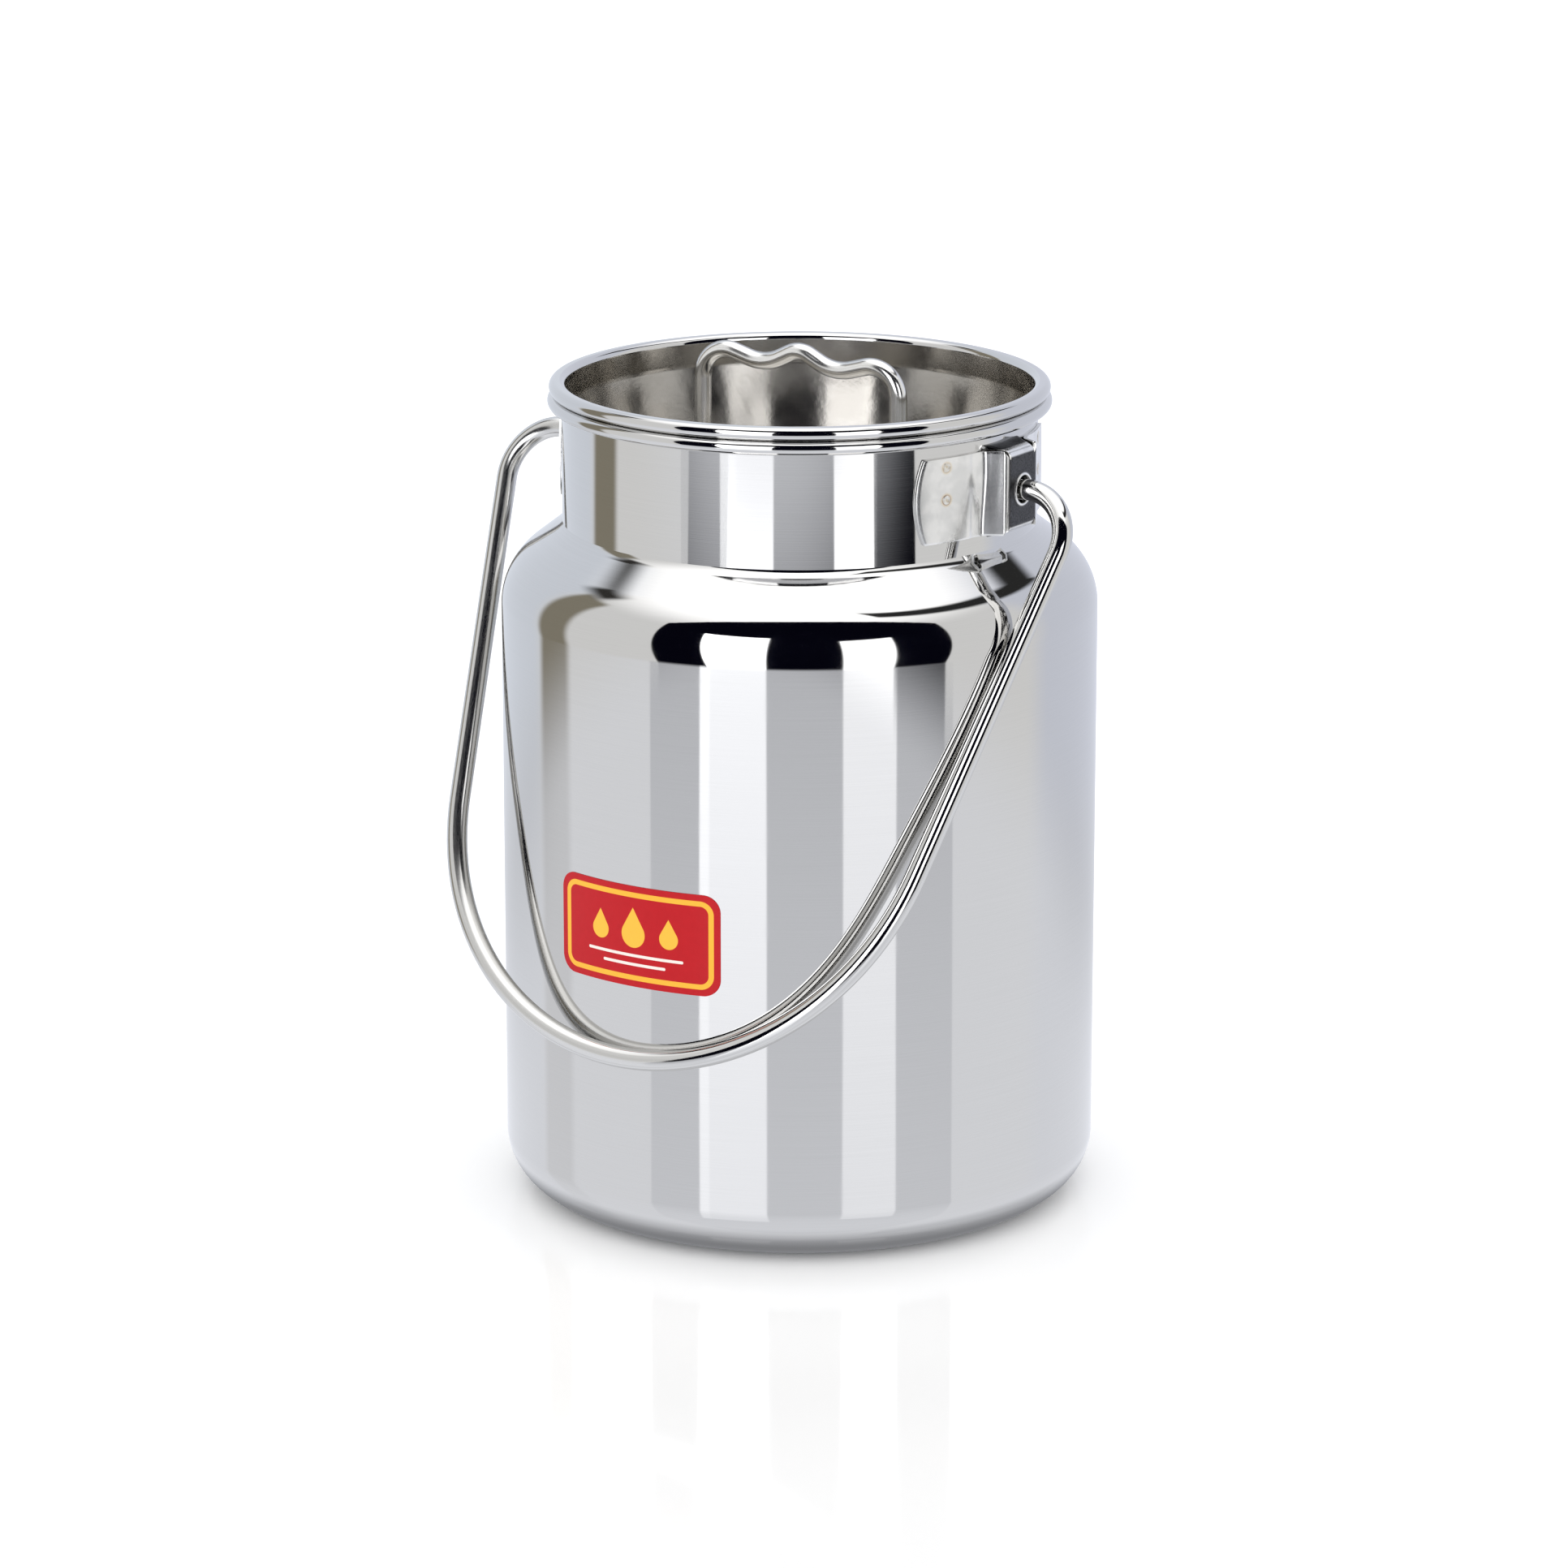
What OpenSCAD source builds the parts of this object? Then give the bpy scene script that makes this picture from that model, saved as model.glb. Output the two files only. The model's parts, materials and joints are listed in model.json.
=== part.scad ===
// Milk can of about five litres: a polished sheet steel can with a plug lid and a swinging bail.
// Millimetres. +Z is up and the origin is the centre of the base. The two ears stand on the X axis,
// and at rest the bail hangs down on the -Y side with its lowest point leaning on the body.

/* [What to draw] */
// One piece by name, or all of them

/* [Can] */
// Outside diameter of the body
body_diameter = 172; // [170:1:174]
// Height of the line where the neck leaves the shoulder
neck_base_height = 198.4; // [170:1:230]
// Outside diameter of the neck
neck_diameter = 136.6; // [134:0.2:138]
// Height of the neck from the shoulder to the middle of its rolled bead
neck_height = 34.8; // [33:0.2:45]
// Thickness of the body, neck and lid sheet
sheet = 0.6; // [0.5:0.1:0.8]
// Radius of the round between base and wall
corner_round = 16; // [8:1:24]
// Radius of the round at the top of the wall
shoulder_round = 21; // [15:1:21]
// Slope of the shoulder above the horizontal
shoulder_slope = 37.5; // [30:0.5:38]

/* [Rolled beads] */
// Height of a bead
bead_height = 3.9; // [3.6:0.1:4]
// Outside diameter of the neck bead
neck_bead_diameter = 144.6; // [144:0.2:146]
// Outside diameter of the lid bead
lid_bead_diameter = 143.7; // [143:0.1:144]

/* [Ears] */
// Thickness of the ear sheet
ear_sheet = 1; // [0.8:0.1:1.2]
// Height of an ear
ear_height = 24; // [20:0.5:26]
// Distance from the can's axis to the outside of the ear's plate
ear_reach = 74.6; // [74.4:0.1:76]
// Height of the bail's axis above the neck base
bail_axis_rise = 17; // [15:0.5:18]
// Diameter of the hole the bail turns in
ear_hole = 8; // [6.4:0.1:8.5]

/* [Bail] */
// Diameter of the bail rod
bail_rod = 6; // [5:0.5:6]
// Distance from the bail's axis down to its lowest rod centre
bail_drop = 180.5; // [176:0.5:182]
// Radius of the bail's bow
bail_bow = 79; // [78:0.5:80]
// Radius of the bends beside the ears
bail_bend = 15; // [12:1:16]
// How far each leg leans inwards on its way down, in degrees
bail_lean = 9.5; // [9:0.1:10]
// How far the bends and the bow sit towards -X, as bent by hand
bail_offset = 3; // [0:0.5:3]

/* [Lid] */
// Depth of the dish from the middle of its bead to its floor
lid_depth = 31; // [26:0.5:32]
// Depth of the upright collar that fits the neck, from the middle of the bead
lid_collar = 5; // [4:0.5:8]
// Slope of the wall below the collar, in degrees from the upright
lid_taper = 12; // [6:1:15]
// Diameter of the lid handle's wire
lid_wire = 5; // [4:0.5:5.5]
// Distance between the middles of the lid handle's legs
lid_leg_spacing = 66.6; // [65:0.2:70]
// Height of the handle's middle wave above the middle of the lid bead
lid_handle_height = 12; // [10:0.5:16]

/* [Label] */
// Width of the label round the body
label_width = 53.4; // [40:0.2:60]
// Height of the label
label_height = 29.4; // [20:0.2:40]
// Height of the label's middle above the base
label_middle = 93.8; // [85:0.2:110]

/* [Hidden] */
$fn = 128;

steel = [0.78, 0.79, 0.8];
dull_steel = [0.62, 0.63, 0.64];
weld_steel = [0.5, 0.47, 0.43];
label_red = [0.78, 0.1, 0.12];

// Gaps between pieces that touch: welded sheets, the plug in the neck, the lid on its seat, and the
// resting bail on the wall.
weld_gap = 0.05;
plug_gap = 0.2;
seat_gap = 0.05;
lean_gap = 0.1;

// Can outline, worked up from the base.
body_r = body_diameter / 2;
neck_r = neck_diameter / 2;
mouth_r = neck_r - sheet;
flare_round = 14;
flare_slope = 52;
flare_out = flare_round * (sin(flare_slope) - sin(shoulder_slope));
flare_rise = flare_round * (cos(shoulder_slope) - cos(flare_slope));
round_in = shoulder_round * (1 - sin(shoulder_slope));
round_rise = shoulder_round * cos(shoulder_slope);
cone_out = body_r - round_in - neck_r - flare_out;
cone_rise = cone_out * tan(shoulder_slope);
wall_top = neck_base_height - flare_rise - cone_rise - round_rise;
slope_normal = [sin(shoulder_slope), cos(shoulder_slope)];
round_middle = [body_r - shoulder_round, wall_top];
flare_start = [neck_r + flare_out, neck_base_height - flare_rise];
flare_middle = flare_start + flare_round * slope_normal;

// Neck: a short skirt reaches inside the shoulder, where a ring of weld joins it.
skirt = 2.5;
neck_bead_level = neck_base_height + neck_height;
bead_r = bead_height / 2;
bead_slit = 0.4;
weld_leg = 1.4;

// Lid: the plug hangs inside the neck and its bead sits on the neck's bead.
plug_r = mouth_r - plug_gap;
lid_bead_level = neck_bead_level + bead_height + seat_gap;
lid_floor = lid_bead_level - lid_depth;
lid_corner = 6;
collar_level = lid_bead_level - lid_collar;
taper_normal = [cos(lid_taper), -sin(lid_taper)];
corner_level = lid_floor - sheet + lid_corner;
corner_middle = [
    plug_r + ((corner_level - collar_level) * sin(lid_taper) - lid_corner) / cos(lid_taper),
    corner_level
];

// Ears: a flat plate with rounded folds, side walls at 45 degrees, and wings on the neck. The wings
// are made one degree too long both ways, to merge with the walls and to be cut to their round ends.
bail_axis = neck_base_height + bail_axis_rise;
plate_half = 6.2;
fold_round = 3.5;
fold_angle = 45;
wing_reach = 33.9;
wing_end_round = 32;
wing_r = neck_r + weld_gap;
wing_overlap = 1;
roof_half = 8;
roof_rise = 2.1;
lip_width = 0.6;
lip_height = 0.5;
spot_angle = 21;
spot_rises = [9.4, 0.2];
spot_diameter = 3;
spot_gap = 0.02;
spot_proud = 0.1;

// Bent rods are swept with this many sides and at most this many degrees between sections.
rod_sides = 24;
rod_turn_step = 7;

// Bail: the two bends join the stubs in the ears to the legs, and the legs run into the bow.
bail_stub = 4;
bail_stub_end = ear_reach - bail_stub;
bow_offset = bail_bow + (bail_drop - bail_bow) * sin(bail_lean);
bail_bend_start = (bow_offset - bail_bend * (1 + sin(bail_lean))) / cos(bail_lean);
bail_leg = bail_bend_start * sin(bail_lean) + (bail_drop - bail_bow - bail_bend) * cos(bail_lean);
bail_rest_angle = asin((body_r + bail_rod / 2 + lean_gap) / bail_drop);

// Lid handle: feet on the floor, two upright legs and three waves. Levels are of the wire's middle.
foot_length = 6;
foot_bend = 5;
foot_level = lid_floor + lid_wire / 2 + weld_gap;
leg_x = lid_leg_spacing / 2;
end_wave_bend = 8.8;
valley_bend = 15;
middle_wave_bend = 7.5;
middle_wave_level = lid_bead_level + lid_handle_height - lid_wire / 2;
end_wave_dip = 1.8;
end_wave_level = middle_wave_level - end_wave_dip;
valley_dip = 4;
valley_level = middle_wave_level - valley_dip;
end_wave_x = leg_x - end_wave_bend;
valley_share = 0.4;
valley_x = valley_share * leg_x;

weld_pad_width = 8;
weld_pad_height = 1.6;

label_round = 5;
label_film = 0.15;
label_gap = 0.03;

// Two opposite bends of summed radius `bends`, joined by a straight run, that move `across` and `down`.
function run_length(across, down, bends) = sqrt(across * across + pow(down - bends, 2) - bends * bends);
function run_slope(across, down, bends) =
    atan2(down - bends, across) + atan2(bends, run_length(across, down, bends));

// The path of a bent rod as [x, y, heading]. It starts at the origin along +X. Each step is
// [straight run, bend radius, turn], and a positive turn bends it towards +Y.
function rod_path(steps, step = 0, at = [0, 0], heading = 0) =
    step == len(steps) ? [] :
    let (
        straight = steps[step][0],
        turn = steps[step][2],
        bend = sign(turn) * steps[step][1],
        start = at + straight * [cos(heading), sin(heading)],
        middle = start + bend * [-sin(heading), cos(heading)],
        parts = ceil(abs(turn) / rod_turn_step),
        arc = [
            for (i = [1 : 1 : parts])
                let (h = heading + turn * i / parts)
                [middle[0] + bend * sin(h), middle[1] - bend * cos(h), h]
        ],
        end = middle + bend * [sin(heading + turn), -cos(heading + turn)]
    )
    concat([[start[0], start[1], heading]], arc, rod_path(steps, step + 1, end, heading + turn));

// A round rod swept along the path of its steps, with flat ends.
module rod(diameter, steps) {
    path = concat([[0, 0, 0]], rod_path(steps));
    last = len(path) - 1;
    points = [
        for (at = path)
            for (i = [0 : rod_sides - 1])
                let (a = 360 * i / rod_sides, out = diameter / 2 * cos(a))
                [at[0] - out * sin(at[2]), at[1] + out * cos(at[2]), diameter / 2 * sin(a)]
    ];
    skin = [
        for (k = [0 : last - 1])
            for (i = [0 : rod_sides - 1])
                let (j = (i + 1) % rod_sides)
                [k * rod_sides + i, k * rod_sides + j, (k + 1) * rod_sides + j, (k + 1) * rod_sides + i]
    ];
    first_end = [for (i = [rod_sides - 1 : -1 : 0]) i];
    last_end = [for (i = [0 : rod_sides - 1]) last * rod_sides + i];
    polyhedron(points = points, faces = concat(skin, [first_end, last_end]));
}

// The body's filled outline in radius and height, moved inwards by `inset`.
module can_outline(inset) {
    difference() {
        union() {
            translate([0, inset])
                square([body_r - corner_round, wall_top - inset]);
            translate([0, corner_round])
                square([body_r - inset, wall_top - corner_round]);
            translate([body_r - corner_round, corner_round])
                circle(r = corner_round - inset);
            translate(round_middle)
                circle(r = shoulder_round - inset);
            polygon([
                [0, wall_top],
                round_middle,
                round_middle + (shoulder_round - inset) * slope_normal,
                flare_start - inset * slope_normal,
                [flare_start[0] - inset * slope_normal[0], neck_base_height],
                [0, neck_base_height]
            ]);
        }
        translate(flare_middle)
            circle(r = flare_round + inset);
    }
}

module body_shell() {
    color(steel)
        rotate_extrude()
            difference() {
                can_outline(0);
                can_outline(sheet);
                translate([0, wall_top])
                    square([neck_r + weld_gap, shoulder_round + neck_height]);
            }
}

// A flattened bead from radius `inner` to radius `outer`, moved inwards by `inset`.
module bead_outline(inner, outer, level, inset) {
    translate([inner + bead_r, level])
        circle(r = bead_r - inset);
    translate([outer - bead_r, level])
        circle(r = bead_r - inset);
    translate([inner + bead_r, level - bead_r + inset])
        square([outer - inner - bead_height, bead_height - 2 * inset]);
}

// A bead rolled outwards from the top of a wall whose inside is at radius `inner`.
module rolled_bead(inner, outer, level) {
    difference() {
        bead_outline(inner, outer, level, 0);
        bead_outline(inner, outer, level, sheet);
        translate([inner + sheet, level - bead_height])
            square([bead_slit, bead_height]);
    }
}

module neck_collar() {
    color(steel)
        rotate_extrude()
            union() {
                translate([mouth_r, neck_base_height - skirt])
                    square([sheet, neck_height + skirt]);
                rolled_bead(mouth_r, neck_bead_diameter / 2, neck_bead_level);
            }
}

// The weld inside the can, in the corner between the shoulder and the neck's skirt.
module neck_weld_ring() {
    weld_top = neck_base_height - sheet / cos(flare_slope) - weld_gap;
    color(weld_steel)
        rotate_extrude()
            polygon([
                [neck_r + weld_gap, weld_top],
                [neck_r + weld_gap, weld_top - weld_leg * tan(flare_slope)],
                [neck_r + weld_gap + weld_leg, weld_top - weld_leg * tan(flare_slope) - weld_gap]
            ]);
}

// A wedge from the origin between two angles less than 180 degrees apart, for cutting arcs out of rings.
module wedge(from, to, size) {
    middle = (from + to) / 2;
    reach = size / cos((to - from) / 2);
    polygon([
        [0, 0],
        size * [cos(from), sin(from)],
        reach * [cos(middle), sin(middle)],
        size * [cos(to), sin(to)]
    ]);
}

module arc_strip(inner, thickness, from, to) {
    intersection() {
        difference() {
            circle(r = inner + thickness);
            circle(r = inner);
        }
        wedge(from, to, 2 * (inner + thickness));
    }
}

// Half of the ear's section seen from above, on the +Y side.
module ear_half_section() {
    fold_middle = [ear_reach - fold_round, plate_half];
    wall_start = fold_middle + fold_round * [cos(fold_angle), sin(fold_angle)];
    toward = wall_start * [sin(fold_angle), -cos(fold_angle)];
    wall_length = toward - sqrt(toward * toward - wall_start * wall_start + pow(wing_r + ear_sheet, 2));
    wall_end = wall_start + wall_length * [-sin(fold_angle), cos(fold_angle)];
    wing_start_angle = atan2(wall_end[1], wall_end[0]);
    translate([ear_reach - ear_sheet, 0])
        square([ear_sheet, plate_half]);
    translate(fold_middle)
        arc_strip(fold_round - ear_sheet, ear_sheet, 0, fold_angle);
    translate(wall_start)
        rotate(fold_angle)
            translate([-ear_sheet, 0])
                square([ear_sheet, wall_length + ear_sheet / 2]);
    arc_strip(wing_r, ear_sheet, wing_start_angle - wing_overlap, asin(wing_reach / wing_r) + wing_overlap);
}

// The roof that closes the top of the ear, as a section in X and height above the bail's axis.
module ear_roof() {
    top = ear_height / 2;
    inside = wing_r - ear_sheet;
    rotate([90, 0, 0])
        linear_extrude(height = 2 * roof_half, center = true)
            polygon([
                [ear_reach, top - ear_sheet],
                [ear_reach, top],
                [inside, top + roof_rise],
                [inside, top + roof_rise - ear_sheet],
                [ear_reach - ear_sheet, top - ear_sheet]
            ]);
}

// Places a piece at each of the ear's four spot welds.
module at_spot_welds() {
    for (side = [-1, 1]) {
        for (rise = spot_rises) {
            rotate([0, 0, side * spot_angle])
                translate([neck_r, 0, rise])
                    rotate([0, 90, 0])
                        children();
        }
    }
}

module ear() {
    translate([0, 0, bail_axis])
        difference() {
            union() {
                intersection() {
                    translate([0, 0, -ear_height / 2])
                        linear_extrude(height = ear_height) {
                            ear_half_section();
                            mirror([0, 1])
                                ear_half_section();
                        }
                    rotate([90, 0, 90])
                        linear_extrude(height = body_r)
                            for (side = [-1, 1])
                                translate([side * (wing_reach - wing_end_round), 0])
                                    circle(r = wing_end_round);
                }
                ear_roof();
                mirror([0, 0, 1])
                    ear_roof();
                translate([ear_reach - ear_sheet, 0, 0])
                    rotate([0, 90, 0])
                        cylinder(d = ear_hole + 2 * lip_width, h = ear_sheet + lip_height);
            }
            translate([0, 0, -ear_height])
                cylinder(r = wing_r, h = 2 * ear_height);
            translate([wing_r, 0, 0])
                rotate([0, 90, 0])
                    cylinder(d = ear_hole, h = body_r - wing_r);
            at_spot_welds()
                cylinder(d = spot_diameter + 2 * spot_gap, h = 2 * ear_sheet + weld_gap);
        }
}

module ear_right() {
    color(dull_steel)
        ear();
}

module ear_left() {
    color(dull_steel)
        mirror([1, 0, 0])
            ear();
}

module ear_welds() {
    translate([0, 0, bail_axis])
        at_spot_welds()
            translate([0, 0, spot_gap])
                cylinder(d = spot_diameter, h = weld_gap + ear_sheet + spot_proud - spot_gap);
}

module ear_right_welds() {
    color(weld_steel)
        ear_welds();
}

module ear_left_welds() {
    color(weld_steel)
        mirror([1, 0, 0])
            ear_welds();
}

// The bail lies in its own plane, with X along the ears and Y from its axis towards the bow.
module bail_handle() {
    bend_turn = 90 + bail_lean;
    bow_turn = 180 - 2 * bail_lean;
    color(steel)
        translate([0, 0, bail_axis])
            rotate([-90 - bail_rest_angle, 0, 0])
                translate([bail_stub_end, 0, 0])
                    rod(bail_rod, [
                        [bail_bend_start - bail_offset - bail_stub_end, bail_bend, bend_turn],
                        [bail_leg, bail_bow, bow_turn],
                        [bail_leg, bail_bend, bend_turn],
                        [bail_bend_start + bail_offset - bail_stub_end, 0, 0]
                    ]);
}

// The lid's filled outline below its bead, in radius and height, moved inwards by `inset`.
module dish_outline(inset) {
    translate(corner_middle)
        circle(r = lid_corner - inset);
    polygon([
        [0, lid_floor - sheet + inset],
        [corner_middle[0], lid_floor - sheet + inset],
        corner_middle,
        corner_middle + (lid_corner - inset) * taper_normal,
        [plug_r - inset, collar_level + inset * tan(lid_taper / 2)],
        [plug_r - inset, lid_bead_level + inset],
        [0, lid_bead_level + inset]
    ]);
}

module lid_dish() {
    color(steel)
        rotate_extrude()
            union() {
                difference() {
                    dish_outline(0);
                    dish_outline(sheet);
                }
                rolled_bead(plug_r - sheet, lid_bead_diameter / 2, lid_bead_level);
            }
}

module lid_handle() {
    leg_length = end_wave_level - end_wave_bend - foot_level - foot_bend;
    outer_across = end_wave_x - valley_x;
    outer_down = end_wave_level - valley_level;
    outer_bends = end_wave_bend + valley_bend;
    outer_run = run_length(outer_across, outer_down, outer_bends);
    outer_slope = run_slope(outer_across, outer_down, outer_bends);
    inner_down = middle_wave_level - valley_level;
    inner_bends = middle_wave_bend + valley_bend;
    inner_run = run_length(valley_x, inner_down, inner_bends);
    inner_slope = run_slope(valley_x, inner_down, inner_bends);
    color(steel)
        translate([-leg_x - foot_bend - foot_length, 0, foot_level])
            rotate([90, 0, 0])
                rod(lid_wire, [
                    [foot_length, foot_bend, 90],
                    [leg_length, end_wave_bend, -90 - outer_slope],
                    [outer_run, valley_bend, outer_slope + inner_slope],
                    [inner_run, middle_wave_bend, -2 * inner_slope],
                    [inner_run, valley_bend, outer_slope + inner_slope],
                    [outer_run, end_wave_bend, -90 - outer_slope],
                    [leg_length, foot_bend, 90],
                    [foot_length, 0, 0]
                ]);
}

// A low weld mound each side of both feet of the lid handle.
module lid_handle_welds() {
    pad_x = leg_x + foot_bend + foot_length / 2;
    color(weld_steel)
        difference() {
            for (side = [-1, 1]) {
                translate([side * pad_x, 0, lid_floor + weld_gap + weld_pad_height / 2])
                    cube([foot_length, weld_pad_width, weld_pad_height], center = true);
            }
            translate([-body_r, 0, foot_level])
                rotate([0, 90, 0])
                    cylinder(d = lid_wire + weld_gap, h = body_diameter);
        }
}

// The label's flat shape: a rectangle with rounded corners.
module label_outline() {
    for (x = [-1, 1]) {
        for (y = [-1, 1]) {
            translate([x * (label_width / 2 - label_round), y * (label_height / 2 - label_round)])
                circle(r = label_round);
        }
    }
    square([label_width - 2 * label_round, label_height], center = true);
    square([label_width, label_height - 2 * label_round], center = true);
}

module front_label() {
    color(label_red)
        translate([0, 0, label_middle])
            intersection() {
                difference() {
                    cylinder(r = body_r + label_gap + label_film, h = label_height, center = true);
                    cylinder(r = body_r + label_gap, h = 2 * label_height, center = true);
                }
                rotate([90, 0, 0])
                    linear_extrude(height = body_diameter)
                        label_outline();
            }
}

body_shell();
neck_collar();
neck_weld_ring();
ear_right();
ear_left();
ear_right_welds();
ear_left_welds();
bail_handle();
lid_dish();
lid_handle();
lid_handle_welds();
front_label();
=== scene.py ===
"""Looks for the milk can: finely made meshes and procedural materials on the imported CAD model, in metres.

Z is up, X runs through both ears and -Y is the front. Each visible piece takes the place of one CAD node,
and its main sizes are read from that node's box.
"""

import json
import math

import bpy
import numpy as np
from mathutils import Matrix, Vector


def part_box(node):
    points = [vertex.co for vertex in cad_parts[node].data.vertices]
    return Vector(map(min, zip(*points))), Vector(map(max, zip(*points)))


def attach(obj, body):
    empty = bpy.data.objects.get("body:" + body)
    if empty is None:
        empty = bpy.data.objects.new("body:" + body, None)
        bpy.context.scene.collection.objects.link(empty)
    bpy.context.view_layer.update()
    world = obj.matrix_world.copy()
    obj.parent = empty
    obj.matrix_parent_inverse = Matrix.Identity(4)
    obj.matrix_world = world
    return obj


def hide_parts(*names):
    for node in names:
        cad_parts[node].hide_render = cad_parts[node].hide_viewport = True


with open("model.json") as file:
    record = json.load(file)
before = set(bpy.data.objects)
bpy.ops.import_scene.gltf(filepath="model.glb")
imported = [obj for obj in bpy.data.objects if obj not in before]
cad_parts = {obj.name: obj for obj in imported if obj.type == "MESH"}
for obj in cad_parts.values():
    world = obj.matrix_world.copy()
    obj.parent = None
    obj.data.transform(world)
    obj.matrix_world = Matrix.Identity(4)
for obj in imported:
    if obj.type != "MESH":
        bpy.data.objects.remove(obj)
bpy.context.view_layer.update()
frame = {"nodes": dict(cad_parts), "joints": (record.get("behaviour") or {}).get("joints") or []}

MM = 0.001

# ---------------------------------------------------------------- sizes

SHEET = 0.6 * MM
EAR_SHEET = 1.0 * MM
WELD_GAP = 0.05 * MM

AXIS_HEIGHT = next(j for j in frame["joints"] if j["name"] == "bail_swing")["pos_m"][2]

collar_low, collar_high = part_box("neck_collar")
dish_low, dish_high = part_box("lid_dish")
wire_low, wire_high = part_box("lid_handle")
label_low, label_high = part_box("front_label")
bail_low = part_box("bail_handle")[0]
ear_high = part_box("ear_right")[1]

BODY_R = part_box("body_shell")[1].x
CORNER_ROUND = 16 * MM
SHOULDER_ROUND = 21 * MM
SHOULDER_SLOPE = math.radians(37.5)
FLARE_ROUND = 9 * MM
FLARE_SLOPE = math.radians(57)

BEAD_HEIGHT = 3.9 * MM
BEAD_R = BEAD_HEIGHT / 2
BEAD_OVERHANG = 4.6 * MM
SKIRT = 2.5 * MM
PLUG_GAP = 0.2 * MM
LID_CORNER = 6 * MM
LID_COLLAR = 5 * MM
LID_TAPER = 12
LID_SHOULDER = 8 * MM

MOUTH_R = collar_high.x - BEAD_OVERHANG
NECK_R = MOUTH_R + SHEET
NECK_BASE = collar_low.z + SKIRT
PLUG_R = MOUTH_R - PLUG_GAP
LID_FLOOR = dish_low.z + SHEET
LID_BEAD_LEVEL = dish_high.z - BEAD_R

WIRE_R = (wire_high.y - wire_low.y) / 2
BAIL_R = WIRE_R * 6 / 5

EAR_LIP = 0.5 * MM
EAR_FACE = ear_high.x - EAR_LIP
WING_R = NECK_R + WELD_GAP + EAR_SHEET

CAMERA_AZIMUTH = math.radians(33)
NEAR = Vector((math.sin(CAMERA_AZIMUTH), -math.cos(CAMERA_AZIMUTH), 0))
RIGHT = Vector((math.cos(CAMERA_AZIMUTH), math.sin(CAMERA_AZIMUTH), 0))


# ---------------------------------------------------------------- mesh tools

def make_object(name, points, faces, sharp_degrees=35):
    """A smooth-shaded mesh object, with edges sharper than the given angle kept sharp."""
    mesh = bpy.data.meshes.new(name)
    mesh.from_pydata([tuple(p) for p in points], [], [tuple(f) for f in faces])
    mesh.validate()
    mesh.shade_smooth()
    mesh.set_sharp_from_angle(angle=math.radians(sharp_degrees))
    made = bpy.data.objects.new(name, mesh)
    bpy.context.scene.collection.objects.link(made)
    return made


def fit(piece, node, body, slot, *materials):
    """Puts a piece in place of its CAD node, on its body, with its materials."""
    for material in materials:
        piece.data.materials.append(material)
    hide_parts(node)
    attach(piece, body)
    return piece


def arc(middle, radius, start, end, step=4):
    """Points on an arc between two angles in degrees."""
    count = max(2, math.ceil(abs(end - start) / step) + 1)
    angles = np.radians(np.linspace(start, end, count))
    return [(middle[0] + radius * math.cos(a), middle[1] + radius * math.sin(a)) for a in angles]


def sheet_outline(centre, thickness):
    """The closed outline of a sheet whose middle runs along the given points."""
    line = np.array(centre)
    steps = np.diff(line, axis=0)
    steps /= np.linalg.norm(steps, axis=1)[:, None]
    along = np.vstack([steps[:1], steps[:-1] + steps[1:], steps[-1:]])
    along /= np.linalg.norm(along, axis=1)[:, None]
    side = np.stack([along[:, 1], -along[:, 0]], 1) * thickness / 2
    return [tuple(p) for p in np.vstack([line + side, (line - side)[::-1]])]


def lathe(name, outline, segments=360):
    """Turns a closed outline in radius and height about the Z axis; points on the axis are single."""
    on_axis = 0.0001 * MM
    points, rings = [], []
    for r, z in outline:
        if r < on_axis:
            rings.append([len(points)])
            points.append((0, 0, z))
            continue
        rings.append(list(range(len(points), len(points) + segments)))
        turns = np.arange(segments) * 2 * math.pi / segments
        points.extend(np.stack([r * np.cos(turns), r * np.sin(turns), np.full(segments, z)], 1))
    faces = []
    for low, high in zip(rings, rings[1:] + rings[:1]):
        for i in range(segments):
            j = (i + 1) % segments
            if len(low) == 1 and len(high) == 1:
                break
            if len(low) == 1:
                faces.append((low[0], high[j], high[i]))
            elif len(high) == 1:
                faces.append((low[i], low[j], high[0]))
            else:
                faces.append((low[i], low[j], high[j], high[i]))
    return make_object(name, points, faces)


def bent_path(steps, turn_step=2.5, run_step=8 * MM):
    """Points and headings of a bent rod that starts at the origin along +X.

    Each step is (straight run, bend radius, turn in degrees); a positive turn bends towards +Y.
    """
    at, heading = np.zeros(2), 0.0
    path = [(0.0, 0.0, 0.0)]
    for run, bend, turn in steps:
        ahead = np.array([math.cos(heading), math.sin(heading)])
        parts = max(1, math.ceil(run / run_step))
        for k in range(1, parts + 1):
            path.append((*(at + ahead * run * k / parts), heading))
        at = at + ahead * run
        if turn:
            bend = math.copysign(bend, turn)
            middle = at + bend * np.array([-math.sin(heading), math.cos(heading)])
            count = math.ceil(abs(turn) / turn_step)
            for k in range(1, count + 1):
                h = heading + math.radians(turn) * k / count
                path.append((middle[0] + bend * math.sin(h), middle[1] - bend * math.cos(h), h))
            heading += math.radians(turn)
            at = np.array(path[-1][:2])
    return path


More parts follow.
